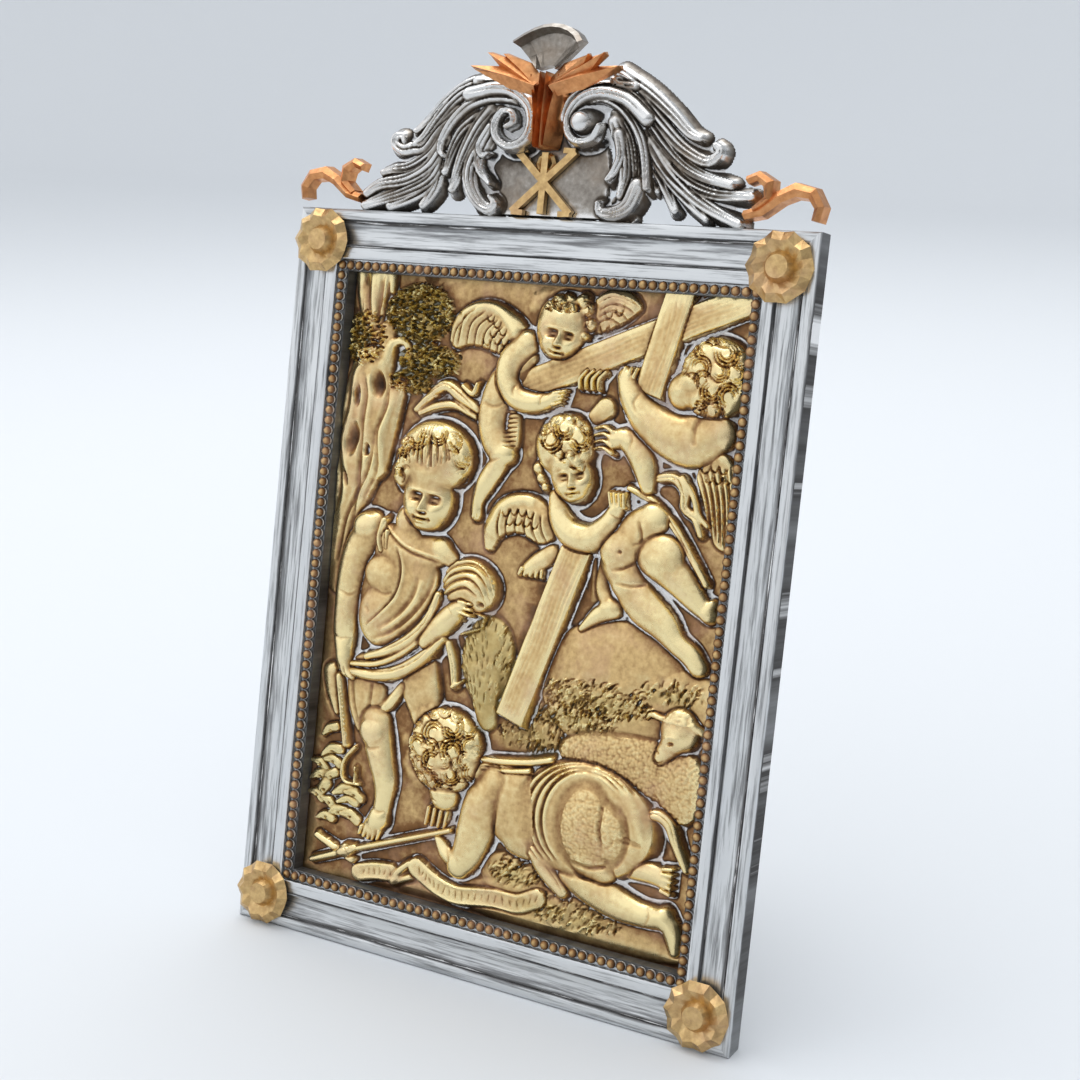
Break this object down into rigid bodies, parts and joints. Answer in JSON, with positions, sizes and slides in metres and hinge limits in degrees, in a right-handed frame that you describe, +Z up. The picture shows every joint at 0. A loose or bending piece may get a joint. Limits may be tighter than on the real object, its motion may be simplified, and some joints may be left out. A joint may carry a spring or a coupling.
{
  "type": "plaquette",
  "caption": "Small standing panel: gilt relief of winged children with a cross, in a silver moulded frame with beaded edge, corner rosettes and scrolled leaf crest, propped by a rear handle.",
  "frame": {"origin": "middle of the footprint, on the table", "axes": "+Z up, the relief faces -Y and leans back 11.4 degrees towards +Y, +X to the viewer's right"},
  "size_m": [0.1004, 0.0532, 0.159],
  "materials": {
    "silver": "polished silver with grey tarnish in the grooves",
    "dark_silver": "cast silver, tarnished, rubbed bright on the ridges",
    "gilt": "pale fire gilding, brown in the recesses",
    "rose_gilt": "warm reddish gilding"
  },
  "bodies": {
    "root": {"frame_moulding": "silver", "bead_border": "gilt", "relief_plaquette": "gilt", "rear_tray": "silver", "rosette_bottom_left": "gilt", "rosette_bottom_right": "gilt", "rosette_top_left": "gilt", "rosette_top_right": "gilt", "crest_casting": "dark_silver", "crest_calyx": "rose_gilt", "crest_shell": "dark_silver", "crest_ornament": "gilt", "crest_scroll_left": "rose_gilt", "crest_scroll_right": "rose_gilt", "rear_handle": "silver"}
  },
  "joints": []
}
